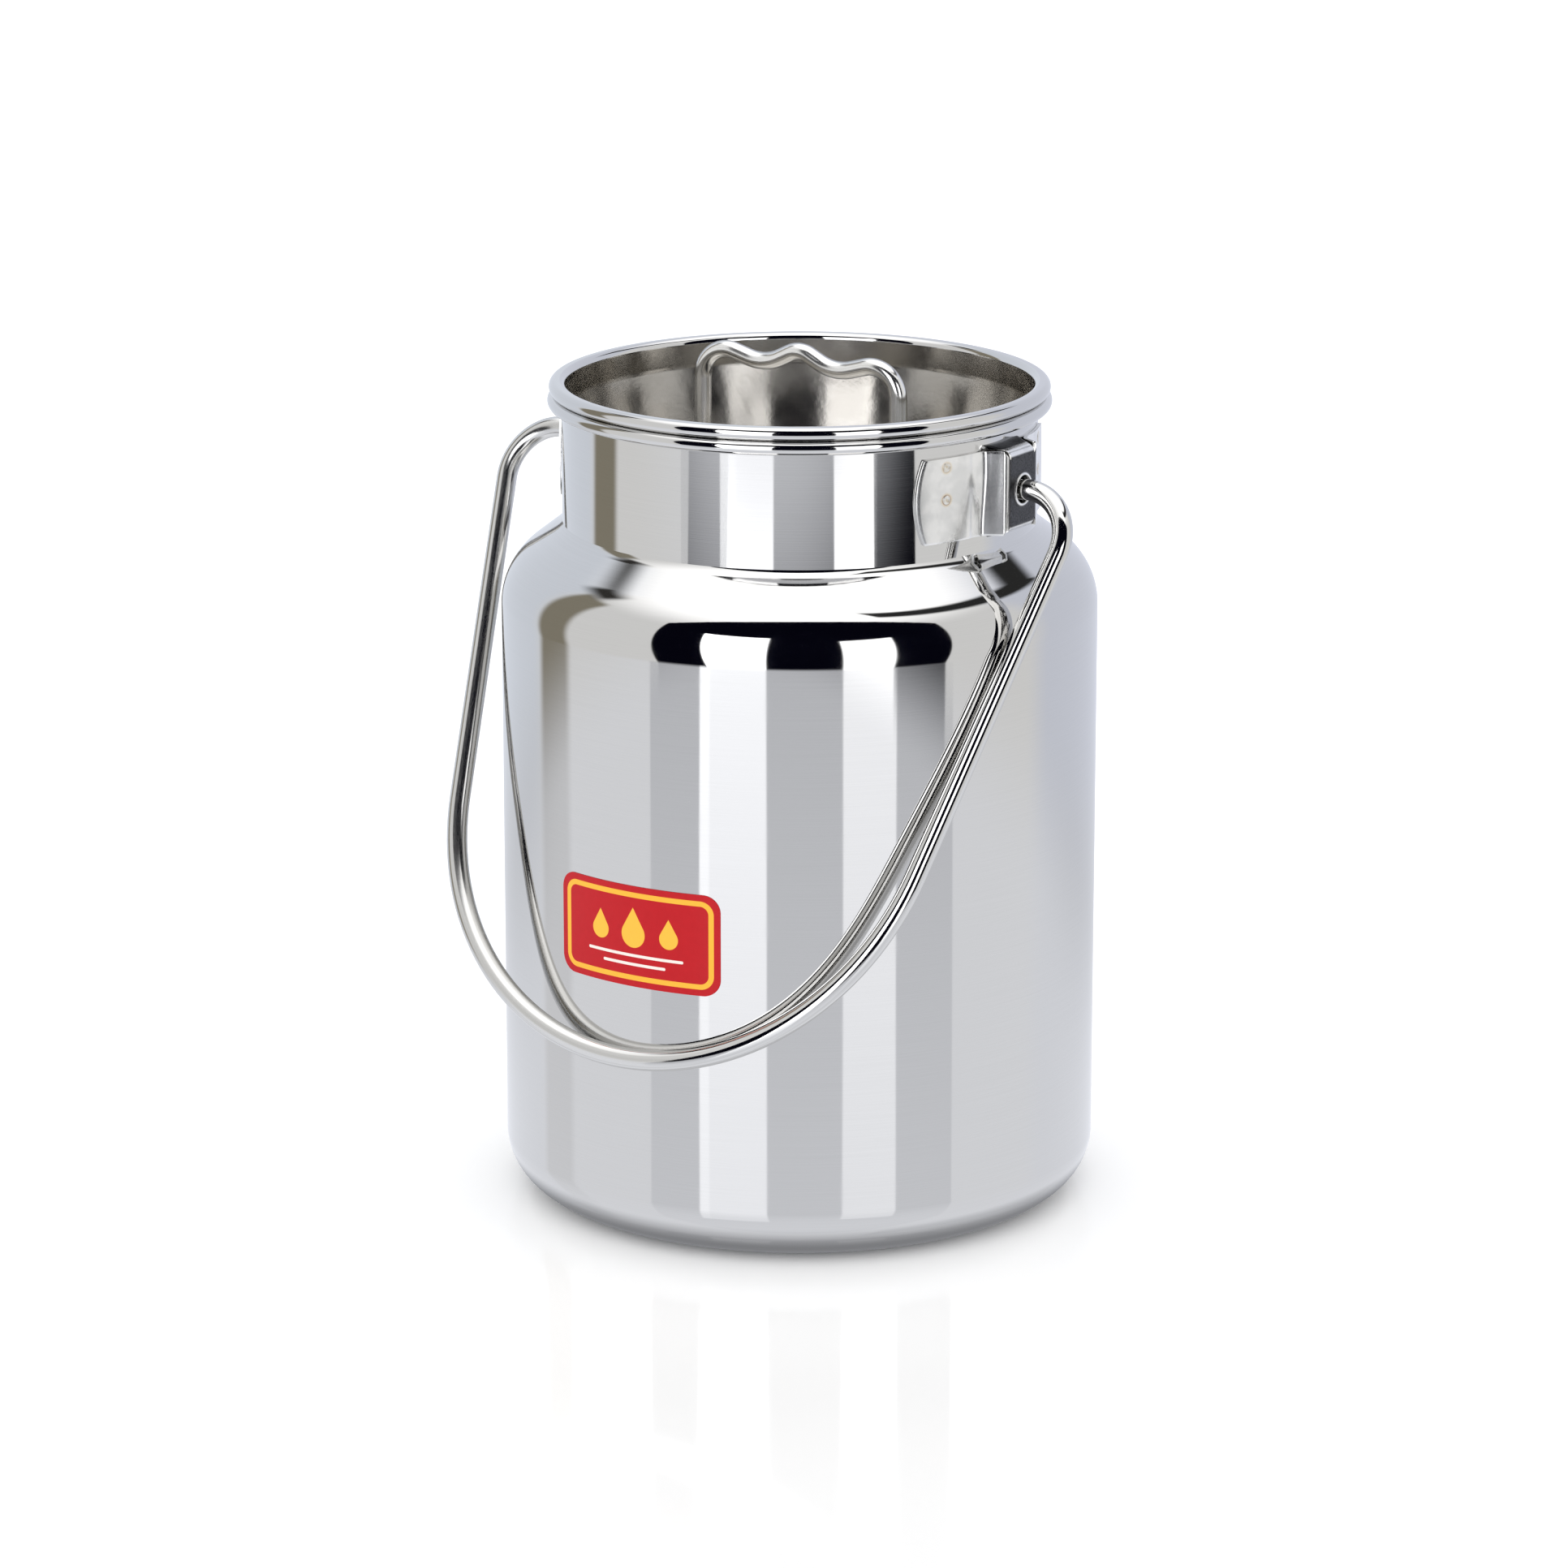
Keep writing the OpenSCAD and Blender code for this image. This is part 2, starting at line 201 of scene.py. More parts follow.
def rod(name, path, radius, place, sides=48):
    """A round rod along a flat path, with softened ends, moved by the matrix `place`.

    The attribute "grain" holds each point's place round and along the rod, for streaks in its material.
    """
    soft = 0.12 * radius
    softening = np.radians([0, 30, 60, 90])
    ends = [(soft * (1 - math.cos(a)), radius - soft * (1 - math.sin(a))) for a in softening]
    rings = [(path[0], back, r) for back, r in ends]
    rings += [(at, None, radius) for at in path[1:-1]]
    rings += [(path[-1], -back, r) for back, r in ends[::-1]]
    points, grain, run, last = [], [], 0.0, None
    turns = np.arange(sides) * 2 * math.pi / sides
    for (x, y, h), shift, r in rings:
        if shift:
            x, y = x + shift * math.cos(h), y + shift * math.sin(h)
        run += math.dist((x, y), last) if last else 0.0
        last = (x, y)
        for t in turns:
            out = r * math.cos(t)
            points.append(place @ Vector((x - out * math.sin(h), y + out * math.cos(h), r * math.sin(t))))
            grain.append((math.cos(t), math.sin(t), run))
    faces = [tuple(range(sides))[::-1], tuple(range(len(points) - sides, len(points)))]
    for k in range(len(rings) - 1):
        for i in range(sides):
            j = (i + 1) % sides
            a, b = k * sides, (k + 1) * sides
            faces.append((a + i, a + j, b + j, b + i))
    made = make_object(name, points, faces)
    attribute = made.data.attributes.new("grain", "FLOAT_VECTOR", "POINT")
    attribute.data.foreach_set("vector", np.array(grain, np.float32).ravel())
    return made


# ---------------------------------------------------------------- shader tools

class Shader:
    """Short calls for building a node tree. Values can be numbers, colours or other nodes' outputs."""

    def __init__(self, tree):
        self.tree = tree
        tree.nodes.clear()

    def node(self, kind, settings=None, **inputs):
        """A new node with its settings and inputs. An underscore stands for a space in an input's name."""
        made = self.tree.nodes.new(kind)
        for key, value in (settings or {}).items():
            setattr(made, key, value)
        for key, value in inputs.items():
            self.feed(made.inputs[key.replace("_", " ")], value)
        return made

    def feed(self, socket, value):
        if isinstance(value, bpy.types.NodeSocket):
            self.tree.links.new(value, socket)
        else:
            socket.default_value = value

    def math(self, operation, a, b=0.0):
        made = self.tree.nodes.new("ShaderNodeMath")
        made.operation = operation
        self.feed(made.inputs[0], a)
        self.feed(made.inputs[1], b)
        return made.outputs[0]

    def vector(self, operation, a, b):
        made = self.tree.nodes.new("ShaderNodeVectorMath")
        made.operation = operation
        self.feed(made.inputs[0], a)
        self.feed(made.inputs[1], b)
        return made.outputs["Value" if operation in ("DOT_PRODUCT", "LENGTH", "DISTANCE") else "Vector"]

    def mix(self, factor, a, b):
        """Colour mix; colours are given as three numbers or as outputs."""
        made = self.tree.nodes.new("ShaderNodeMix")
        made.data_type = "RGBA"
        self.feed(made.inputs[0], factor)
        for socket, value in ((made.inputs[6], a), (made.inputs[7], b)):
            self.feed(socket, value if isinstance(value, bpy.types.NodeSocket) else (*value, 1.0))
        return made.outputs[2]

    def smooth(self, value, start, end, low=0.0, high=1.0):
        """A smooth step from `low` at `start` to `high` at `end`."""
        made = self.tree.nodes.new("ShaderNodeMapRange")
        made.interpolation_type = "SMOOTHSTEP"
        for socket, number in zip(made.inputs, (value, start, end, low, high)):
            self.feed(socket, number)
        return made.outputs[0]

    def noise(self, place, scale, detail=2.0, roughness=0.5):
        made = self.node("ShaderNodeTexNoise", Vector=place, Scale=scale, Detail=detail, Roughness=roughness)
        return made.outputs["Fac"]

    def bump(self, height, distance, normal=None):
        made = self.node("ShaderNodeBump", Height=height, Distance=distance)
        if normal is not None:
            self.feed(made.inputs["Normal"], normal)
        return made.outputs["Normal"]

    def place(self):
        return self.node("ShaderNodeNewGeometry").outputs["Position"]

    def object_place(self):
        return self.node("ShaderNodeTexCoord").outputs["Object"]


def new_material(name):
    material = bpy.data.materials.new(name)
    material.use_nodes = True
    return material, Shader(material.node_tree)


def finish_surface(shader, surface):
    output = shader.tree.nodes.new("ShaderNodeOutputMaterial")
    shader.tree.links.new(surface, output.inputs["Surface"])


def metal(shader, colour, roughness, normal):
    """A metal surface as the material's output."""
    made = shader.node(
        "ShaderNodeBsdfPrincipled",
        Base_Color=colour,
        Metallic=1.0,
        Roughness=roughness,
        Normal=normal,
    )
    finish_surface(shader, made.outputs[0])


# ---------------------------------------------------------------- materials

def polished_steel():
    """Mirror-polished sheet: faint polishing lines round the can, a slight wave and a few dull smears."""
    material, s = new_material("polished_steel")
    place = s.object_place()
    lines = s.noise(s.vector("MULTIPLY", place, (25, 25, 5200)), 1.0, 3.0)
    wave = s.noise(s.vector("MULTIPLY", place, (1, 1, 0.35)), 16.0, 1.0)
    smears = s.noise(s.vector("MULTIPLY", place, (1, 1, 3)), 30.0, 4.0)
    normal = s.bump(wave, 0.25 * MM)
    normal = s.bump(lines, 0.0009 * MM, normal)
    roughness = s.smooth(smears, 0.35, 0.75, 0.03, 0.06)
    colour = s.mix(s.smooth(lines, 0.3, 0.7), (0.65, 0.645, 0.635), (0.665, 0.66, 0.65))
    metal(s, colour, roughness, normal)
    return material


def satin_steel():
    """The inside of the lid: satin sheet with the fine orange-peel skin that pressing leaves, its colour
    darkened as painted shade inside the deep dish.
    """
    material, s = new_material("satin_steel")
    place = s.object_place()
    peel = s.noise(place, 900.0, 2.0)
    cloud = s.noise(place, 55.0, 3.0)
    normal = s.bump(cloud, 0.18 * MM)
    normal = s.bump(peel, 0.012 * MM, normal)
    # painted shade: the steel is darker here than outside the dish; the cloudy blotches are random tone
    colour = s.mix(s.smooth(cloud, 0.3, 0.7), (0.37, 0.352, 0.322), (0.49, 0.472, 0.44))
    roughness = s.smooth(cloud, 0.35, 0.7, 0.14, 0.24)
    metal(s, colour, roughness, normal)
    return material


def ear_steel():
    """Stamped sheet: bright satin wings, a grainy plate painted near black as a dark reflection, roofs
    painted near black as shade, and brown rings round the welds.
    """
    material, s = new_material("ear_steel")
    place = s.object_place()
    grain = s.noise(place, 3200.0, 3.0, 0.7)
    marks = s.noise(s.vector("MULTIPLY", place, (1, 1, 0.1)), 300.0, 2.0)
    cloud = s.noise(place, 160.0, 2.0)
    normal = s.bump(marks, 0.02 * MM)
    normal = s.bump(grain, 0.008 * MM, normal)
    bright = s.mix(s.smooth(cloud, 0.35, 0.65), (0.76, 0.76, 0.75), (0.88, 0.875, 0.86))

    # the plate, painted near black as a dark reflection, less a bright ring round its hole, and the roofs
    # above and below it, painted darker still as shade
    folded = s.vector("ABSOLUTE", place, (0, 0, 0))
    outward = s.node("ShaderNodeSeparateXYZ", Vector=folded).outputs["X"]
    above = s.node("ShaderNodeSeparateXYZ", Vector=place).outputs["Z"]
    above = s.math("ABSOLUTE", s.math("SUBTRACT", above, AXIS_HEIGHT))
    roof = s.smooth(above, EAR_HALF_HEIGHT, EAR_HALF_HEIGHT + 0.3 * MM)
    plate = s.smooth(outward, EAR_FACE - 0.35 * MM, EAR_FACE - 0.1 * MM)
    plate = s.math("MAXIMUM", plate, s.smooth(above, EAR_HALF_HEIGHT, EAR_HALF_HEIGHT + 0.15 * MM))
    hole = s.vector("DISTANCE", s.vector("MULTIPLY", place, (0, 1, 1)), (0, 0, AXIS_HEIGHT))
    plate = s.math("MULTIPLY", plate, s.smooth(hole, HOLE_R + 0.5 * MM, HOLE_R + 0.9 * MM))
    # painted dark reflection on the plate; the grain that breaks it up is the sheet's own
    painted_dark_plate = s.mix(s.smooth(grain, 0.35, 0.65), (0.025, 0.025, 0.027), (0.10, 0.10, 0.105))
    # painted shade on the roofs above and below the plate, mottled by the cloud noise
    painted_roof_shade = s.mix(s.smooth(cloud, 0.4, 0.6), (0.015, 0.015, 0.016), (0.06, 0.06, 0.062))
    colour = s.mix(roof, s.mix(plate, bright, painted_dark_plate), painted_roof_shade)

    # heat rings; both sides of both ears fold onto one pair of weld places
    straw, brown = (0.74, 0.60, 0.38), (0.34, 0.20, 0.11)
    for rise in SPOT_RISES:
        spot = (WING_R * math.cos(SPOT_ANGLE), WING_R * math.sin(SPOT_ANGLE), AXIS_HEIGHT + rise)
        away = s.math("ADD", s.vector("DISTANCE", folded, spot), s.math("MULTIPLY", cloud, 0.9 * MM))
        heat = s.math("MULTIPLY", 0.8, s.smooth(away, SPOT_R + 1.5 * MM, SPOT_R + 0.3 * MM))
        tint = s.mix(s.smooth(away, SPOT_R + 0.8 * MM, SPOT_R + 0.4 * MM), straw, brown)
        colour = s.mix(heat, colour, tint)
    roughness = s.math("ADD", s.smooth(grain, 0.3, 0.7, 0.15, 0.24), s.math("MULTIPLY", plate, 0.12))
    metal(s, colour, roughness, normal)
    return material


def rod_steel():
    """Drawn rod: bright, with fine drawing streaks along its length, more worn towards -X."""
    material, s = new_material("rod_steel")
    grain = s.node("ShaderNodeAttribute", {"attribute_name": "grain"}).outputs["Vector"]
    streaks = s.noise(s.vector("MULTIPLY", grain, (6, 6, 9)), 1.0, 3.0, 0.6)
    patches = s.noise(s.object_place(), 45.0, 2.0)
    across = s.node("ShaderNodeSeparateXYZ", Vector=s.object_place()).outputs["X"]
    worn = s.smooth(across, 0.04, -0.05)
    normal = s.bump(streaks, s.math("MULTIPLY", s.math("ADD", worn, 0.01), 0.006 * MM))
    colour = s.mix(s.smooth(streaks, 0.3, 0.7), (0.60, 0.595, 0.58), (0.72, 0.715, 0.70))
    roughness = s.math("ADD", s.smooth(patches, 0.3, 0.7, 0.04, 0.07), s.math("MULTIPLY", worn, 0.12))
    metal(s, colour, roughness, normal)
    return material


def wire_steel():
    """Thin drawn wire: brighter and more satin than the rod, with soft streaks along it and painted shade
    that darkens it towards its outline.
    """
    material, s = new_material("wire_steel")
    grain = s.node("ShaderNodeAttribute", {"attribute_name": "grain"}).outputs["Vector"]
    streaks = s.noise(s.vector("MULTIPLY", grain, (7, 7, 30)), 1.0, 3.0)
    colour = s.mix(s.smooth(streaks, 0.3, 0.7), (0.78, 0.775, 0.76), (0.88, 0.875, 0.86))
    # painted shade: the wire turns dark towards its outline as seen along each ray
    edge = s.node("ShaderNodeLayerWeight", Blend=0.5).outputs["Facing"]
    colour = s.mix(s.smooth(edge, 0.4, 0.85), colour, (0.2, 0.195, 0.185))
    metal(s, colour, s.smooth(streaks, 0.3, 0.7, 0.15, 0.2), s.bump(streaks, 0.003 * MM))
    return material


def spot_steel():
    """Spot welds: bright satin, faintly straw."""
    material, s = new_material("spot_steel")
    cloud = s.noise(s.object_place(), 900.0, 2.0)
    colour = s.mix(s.smooth(cloud, 0.4, 0.7), (0.80, 0.79, 0.76), (0.66, 0.58, 0.44))
    metal(s, colour, s.smooth(cloud, 0.3, 0.7, 0.16, 0.26), s.bump(cloud, 0.02 * MM))
    return material


def weld_metal():
    """Small welds: rough, with straw to brown heat tint."""
    material, s = new_material("weld_metal")
    place = s.object_place()
    ripple = s.noise(place, 1600.0, 3.0)
    tint = s.noise(place, 500.0, 2.0)
    normal = s.bump(ripple, 0.05 * MM)
    straw = s.mix(s.smooth(tint, 0.35, 0.6), (0.70, 0.69, 0.66), (0.62, 0.51, 0.34))
    colour = s.mix(s.smooth(tint, 0.6, 0.75), straw, (0.30, 0.19, 0.11))
    metal(s, colour, s.smooth(ripple, 0.3, 0.7, 0.2, 0.4), normal)
    return material


def label_print():
    """Gloss film: red, with a gold keyline, three gold drops and two pale lines. Sizes in millimetres."""
    material, s = new_material("label_print")
    place = s.node("ShaderNodeAttribute", {"attribute_name": "print"}).outputs["Vector"]
    split = s.node("ShaderNodeSeparateXYZ", Vector=place)
    x, y = split.outputs["X"], split.outputs["Y"]

    def length(across, up):
        """Length of a flat vector."""
        return s.math("SQRT", s.math("ADD", s.math("MULTIPLY", across, across), s.math("MULTIPLY", up, up)))

    def rounded_box(half_x, half_y, corner, middle_y=0.0):
        """Distance outside a rounded rectangle on the label's middle line; negative inside."""
        qx = s.math("SUBTRACT", s.math("ABSOLUTE", x), half_x - corner)
        qy = s.math("SUBTRACT", s.math("ABSOLUTE", s.math("SUBTRACT", y, middle_y)), half_y - corner)
        out = length(s.math("MAXIMUM", qx, 0.0), s.math("MAXIMUM", qy, 0.0))
        inside = s.math("MINIMUM", s.math("MAXIMUM", qx, qy), 0.0)
        return s.math("SUBTRACT", s.math("ADD", out, inside), corner)

    def drop(middle_x, middle_y, size):
        """Distance outside a drop: a disc with a point above it."""
        dx = s.math("ABSOLUTE", s.math("SUBTRACT", x, middle_x))
        dy = s.math("SUBTRACT", y, middle_y)
        disc = s.math("SUBTRACT", length(dx, dy), size)
        lean = math.radians(30)
        slant = s.math("ADD", s.math("MULTIPLY", dx, math.cos(lean)), s.math("MULTIPLY", dy, math.sin(lean)))
        slant = s.math("SUBTRACT", slant, size)
        cone = s.math("MAXIMUM", slant, s.math("SUBTRACT", 0.5 * size, dy))
        return s.math("MINIMUM", disc, cone)

    def inked(distance):
        return s.smooth(distance, 0.06, -0.06)

    red = s.mix(s.noise(place, 0.5, 2.0), (0.43, 0.003, 0.008), (0.48, 0.004, 0.010))
    half_x, half_y = (label_high.x - label_low.x) / 2 / MM, (label_high.z - label_low.z) / 2 / MM
    line_in, line_half, line_round = 2.6, 0.75, 3.2
    edge = rounded_box(half_x - line_in, half_y - line_in, line_round)
    ring = s.math("SUBTRACT", s.math("ABSOLUTE", edge), line_half)
    colour = s.mix(inked(ring), red, (0.84, 0.43, 0.04))
    drop_level, drop_spacing = 0.6, 11.5
    for place_x, size in ((-drop_spacing, 2.9), (0.0, 3.9), (drop_spacing, 2.9)):
        colour = s.mix(inked(drop(place_x, drop_level, size)), colour, (0.86, 0.46, 0.05))
    rule_half = 0.42
    for half, level in ((16.0, -5.6), (10.5, -8.2)):
        rule = rounded_box(half, rule_half, rule_half, level)
        colour = s.mix(inked(rule), colour, (0.80, 0.73, 0.68))
    film = s.node(
        "ShaderNodeBsdfPrincipled",
        Base_Color=colour,
        Normal=s.bump(s.noise(place, 0.35, 2.0), 0.03 * MM),
        Roughness=0.45,
        Specular_IOR_Level=0.2,
        Coat_Weight=0.12,
        Coat_Roughness=0.15,
    )
    finish_surface(s, film.outputs[0])
    return material


# ---------------------------------------------------------------- body, neck and lid

def body_centre_line():
    """Middle of the body's sheet from the base's centre up to the neck."""
    half = SHEET / 2
    slope_normal = np.array([math.sin(SHOULDER_SLOPE), math.cos(SHOULDER_SLOPE)])
    flare_out = FLARE_ROUND * (math.sin(FLARE_SLOPE) - math.sin(SHOULDER_SLOPE))
    flare_drop = FLARE_ROUND * (math.cos(SHOULDER_SLOPE) - math.cos(FLARE_SLOPE))
    flare_start = np.array([NECK_R + flare_out, NECK_BASE - flare_drop])
    round_x = BODY_R - SHOULDER_ROUND
    cone_out = round_x + SHOULDER_ROUND * slope_normal[0] - flare_start[0]
    round_z = flare_start[1] - cone_out * math.tan(SHOULDER_SLOPE) - SHOULDER_ROUND * slope_normal[1]
    slope = math.degrees(SHOULDER_SLOPE)
    line = [(0.0, half), (0.35 * BODY_R, half)]
    line += arc((BODY_R - CORNER_ROUND, CORNER_ROUND), CORNER_ROUND - half, -90, 0, 3)
    line += arc((round_x, round_z), SHOULDER_ROUND - half, 0, 90 - slope, 2)
    flare_middle = flare_start + FLARE_ROUND * slope_normal
    line += arc(flare_middle, FLARE_ROUND + half, -90 - slope, -90 - math.degrees(FLARE_SLOPE), 1.5)[1:]
    return line


def rolled_bead(inner, outer, level):
    """Middle of a sheet that comes up a wall at `inner` and rolls over and outwards into a flat bead."""
    half = SHEET / 2
    turn = BEAD_R - half
    slit = 0.35 * MM
    line = arc((inner + BEAD_R, level), turn, 180, 90, 10)
    line += arc((outer - BEAD_R, level), turn, 90, -90, 6)
    line += [(inner + SHEET + slit + half + turn / 2, level - turn), (inner + SHEET + slit, level - turn)]
    return line


def build_body():
    body = lathe("body", sheet_outline(body_centre_line(), SHEET))
    return fit(body, "body_shell", "can", "polished_steel", POLISHED)


def build_collar():
    wall = MOUTH_R + SHEET / 2
    line = [(wall, collar_low.z)] + rolled_bead(MOUTH_R, collar_high.x, collar_high.z - BEAD_R)
    collar = lathe("collar", sheet_outline(line, SHEET))
    return fit(collar, "neck_collar", "can", "polished_steel", POLISHED)


def build_lid():
    """A deep dish: an upright collar, a tapered wall and a rounded corner down to a flat floor.

    It is satin on the inside, from just below its bead, and polished everywhere else.
    """
    half = SHEET / 2
    taper = math.radians(LID_TAPER)
    collar_level = LID_BEAD_LEVEL - LID_COLLAR
    corner_z = LID_FLOOR - SHEET + LID_CORNER
    corner_r = PLUG_R + ((corner_z - collar_level) * math.sin(taper) - LID_CORNER) / math.cos(taper)
    line = [(0.0, LID_FLOOR - half), (0.3 * PLUG_R, LID_FLOOR - half), (0.7 * PLUG_R, LID_FLOOR - half)]
    line += arc((corner_r, corner_z), LID_CORNER - half, -90, -LID_TAPER, 4)
    shoulder = (PLUG_R - LID_SHOULDER, collar_level - LID_SHOULDER * math.tan(taper / 2))
    line += arc(shoulder, LID_SHOULDER - half, -LID_TAPER, 0, 1)
    line += rolled_bead(PLUG_R - SHEET, dish_high.x, LID_BEAD_LEVEL)
    lid = lathe("lid", sheet_outline(line, SHEET))
    fit(lid, "lid_dish", "lid", "lid_steel", POLISHED, SATIN)
    for face in lid.data.polygons:
        middle = face.center
        inside = middle.xy.length < PLUG_R - 0.4 * SHEET and LID_FLOOR - half < middle.z < LID_BEAD_LEVEL
        facing_in = face.normal.z > 0.3 or face.normal.xy.dot(middle.xy) < 0
        face.material_index = 1 if inside and facing_in else 0
    return lid


# ---------------------------------------------------------------- bail and lid handle

BAIL_BOW = 79 * MM
BAIL_BEND = 15 * MM
BAIL_LEAN = math.radians(9.5)
BAIL_OFFSET = 3 * MM
BAIL_STUB = 4 * MM


def build_bail():
    """The bail in its own plane, with X along the ears and Y from its axis towards the bow."""
    low = Vector((bail_low.y + BAIL_R, bail_low.z + BAIL_R - AXIS_HEIGHT))
    drop = low.length
    rest = math.asin(-low.x / drop)
    bow_offset = BAIL_BOW + (drop - BAIL_BOW) * math.sin(BAIL_LEAN)
    start = (bow_offset - BAIL_BEND * (1 + math.sin(BAIL_LEAN))) / math.cos(BAIL_LEAN)
    leg = start * math.sin(BAIL_LEAN) + (drop - BAIL_BOW - BAIL_BEND) * math.cos(BAIL_LEAN)
    stub_end = EAR_FACE - BAIL_STUB
    lean = math.degrees(BAIL_LEAN)
    steps = [
        (start - BAIL_OFFSET - stub_end, BAIL_BEND, 90 + lean),
        (leg, BAIL_BOW, 180 - 2 * lean),
        (leg, BAIL_BEND, 90 + lean),
        (start + BAIL_OFFSET - stub_end, 0, 0),
    ]
    place = Matrix.Translation((0, 0, AXIS_HEIGHT)) @ Matrix.Rotation(-math.pi / 2 - rest, 4, "X")
    bail = rod("bail", bent_path(steps), BAIL_R, place @ Matrix.Translation((stub_end, 0, 0)))
    return fit(bail, "bail_handle", "bail", "rod_steel", ROD)


WIRE_FOOT = 6 * MM
FOOT_BEND = 5 * MM
END_WAVE_BEND = 8.8 * MM
VALLEY_BEND = 15 * MM
MIDDLE_WAVE_BEND = 7.5 * MM
END_WAVE_DIP = 1.8 * MM
VALLEY_DIP = 4 * MM
VALLEY_SHARE = 0.4


def ess(across, down, bends):
    """Straight run and slope in degrees of two opposite bends that move `across` and `down`."""
    run = math.sqrt(across ** 2 + (down - bends) ** 2 - bends ** 2)
    return run, math.degrees(math.atan2(down - bends, across) + math.atan2(bends, run))


def build_lid_handle():
    """One bent wire: a foot, a leg, three waves, a leg and a foot."""
    leg_x = wire_high.x - WIRE_FOOT - FOOT_BEND
    foot_level = wire_low.z + WIRE_R
    middle_level = wire_high.z - WIRE_R
    end_level = middle_level - END_WAVE_DIP
    valley_level = middle_level - VALLEY_DIP
    valley_x = VALLEY_SHARE * leg_x
    across = leg_x - END_WAVE_BEND - valley_x
    outer_run, outer_slope = ess(across, end_level - valley_level, END_WAVE_BEND + VALLEY_BEND)
    inner_run, inner_slope = ess(valley_x, middle_level - valley_level, MIDDLE_WAVE_BEND + VALLEY_BEND)
    leg = end_level - END_WAVE_BEND - foot_level - FOOT_BEND
    half = [
        (WIRE_FOOT, FOOT_BEND, 90),
        (leg, END_WAVE_BEND, -90 - outer_slope),
        (outer_run, VALLEY_BEND, outer_slope + inner_slope),
    ]
    back = [
        (inner_run, VALLEY_BEND, outer_slope + inner_slope),
        (outer_run, END_WAVE_BEND, -90 - outer_slope),
        (leg, FOOT_BEND, 90),
        (WIRE_FOOT, 0, 0),
    ]
    steps = half + [(inner_run, MIDDLE_WAVE_BEND, -2 * inner_slope)] + back
    place = Matrix.Translation((wire_low.x, 0, foot_level)) @ Matrix.Rotation(math.pi / 2, 4, "X")
    handle = rod("lid_wire_handle", bent_path(steps, 4, 3 * MM), WIRE_R, place)
    return fit(handle, "lid_handle", "lid", "rod_steel", WIRE)


MOUND_HALF_LENGTH = 3.1 * MM
MOUND_HALF_WIDTH = 1.7 * MM
MOUND_HEIGHT = 1.5 * MM


def build_handle_welds():
    """A low mound of weld each side of both feet of the lid handle."""
    foot_x = wire_high.x - WIRE_FOOT / 2
    mound_y = 0.72 * WIRE_R
    points, faces = [], []
    around, over = 28, 8
    for side_x in (-1, 1):
        for side_y in (-1, 1):
            first = len(points)
            for k in range(over + 1):
                rise = math.pi / 2 * k / over
                for i in range(around):
                    turn = 2 * math.pi * i / around
                    spread = math.cos(rise) * (1 + 0.08 * math.sin(5 * turn + side_x + 2 * side_y))
                    points.append((
                        side_x * foot_x + MOUND_HALF_LENGTH * math.cos(turn) * spread,
                        side_y * mound_y + MOUND_HALF_WIDTH * math.sin(turn) * spread,
                        LID_FLOOR + WELD_GAP + MOUND_HEIGHT * math.sin(rise),
                    ))
            for k in range(over):
                for i in range(around):
                    j = (i + 1) % around
                    a, b = first + k * around, first + (k + 1) * around
                    faces.append((a + i, a + j, b + j, b + i))
            faces.append(tuple(first + i for i in range(around))[::-1])
    welds = make_object("handle_welds", points, faces)
    return fit(welds, "lid_handle_welds", "lid", "weld_metal", WELD)


# ---------------------------------------------------------------- ears

PLATE_HALF = 6.2 * MM
PLATE_FLAT = 9 * MM
EAR_HALF_HEIGHT = 12 * MM
FOLD_ROUND = 3.5 * MM
FOLD_ANGLE = 45
WING_BEND = 9 * MM
WING_END_ROUND = 32 * MM
ROOF_BEND = 3 * MM
ROOF_SLOPE = 15
ROOF_HALF = 8 * MM
HOLE_R = 4 * MM
LIP_WIDTH = 0.6 * MM
SPOT_ANGLE = math.radians(21)
SPOT_RISES = (9.4 * MM, 0.2 * MM)
SPOT_R = 1.3 * MM
WALL_PARTS = 28
WING_PARTS = 14
ROOF_PARTS = 8
PLATE_RINGS = 6
DENT = 1.5 * MM
CREASE_SOFT = 0.25
CREASE_WANDER = 0.04
RIPPLE = 0.05


def ear_section():
    """Outer face of half an ear seen from above, from the plate's edge to where its wing meets the neck.

    Also returns the angle about the can's axis at which the wing starts.
    """
    line = arc((EAR_FACE - FOLD_ROUND, PLATE_HALF), FOLD_ROUND, 0, FOLD_ANGLE, 3)
    start = np.array(line[-1])
    ahead = np.array([-math.sin(math.radians(FOLD_ANGLE)), math.cos(math.radians(FOLD_ANGLE))])
    # the wall ends where a bend of WING_BEND turns it onto the neck's curve
    bend_side = np.array([ahead[1], -ahead[0]])
    offset = start + WING_BEND * bend_side
    far = WING_R + WING_BEND
    along = -offset @ ahead - math.sqrt((offset @ ahead) ** 2 - offset @ offset + far ** 2)
    middle = offset + along * ahead
    wall = [start + ahead * along * k / WALL_PARTS for k in range(1, WALL_PARTS + 1)]
    touch = math.atan2(middle[1], middle[0])
    bend_start = math.degrees(math.atan2(*(wall[-1] - middle)[::-1]))
    bend_end = math.degrees(touch) + 180
    if bend_start < 0:
        bend_start += 360
    line += [tuple(p) for p in wall] + arc(middle, WING_BEND, bend_start, bend_end, 4)[1:]
    return line, touch


def wall_dent(share, level):
    """How far the side wall dips at a share of the way from its fold to its wing.

    It is pressed in by hand along one soft crease that wanders a little from its foot to its head.
    """
    if not 0 < share < 1:
        return 0.0
    place = share + CREASE_WANDER * math.sin(2.2 * level + 0.6) * math.sin(math.pi * share)
    crease = math.hypot(1, CREASE_SOFT) - math.hypot(1 - 2 * place, CREASE_SOFT)
    ripple = RIPPLE * math.sin(2 * math.pi * (2.4 * share + 0.12 * math.sin(2 * level)))
    return DENT * (crease + ripple * math.sin(math.pi * share) ** 2)


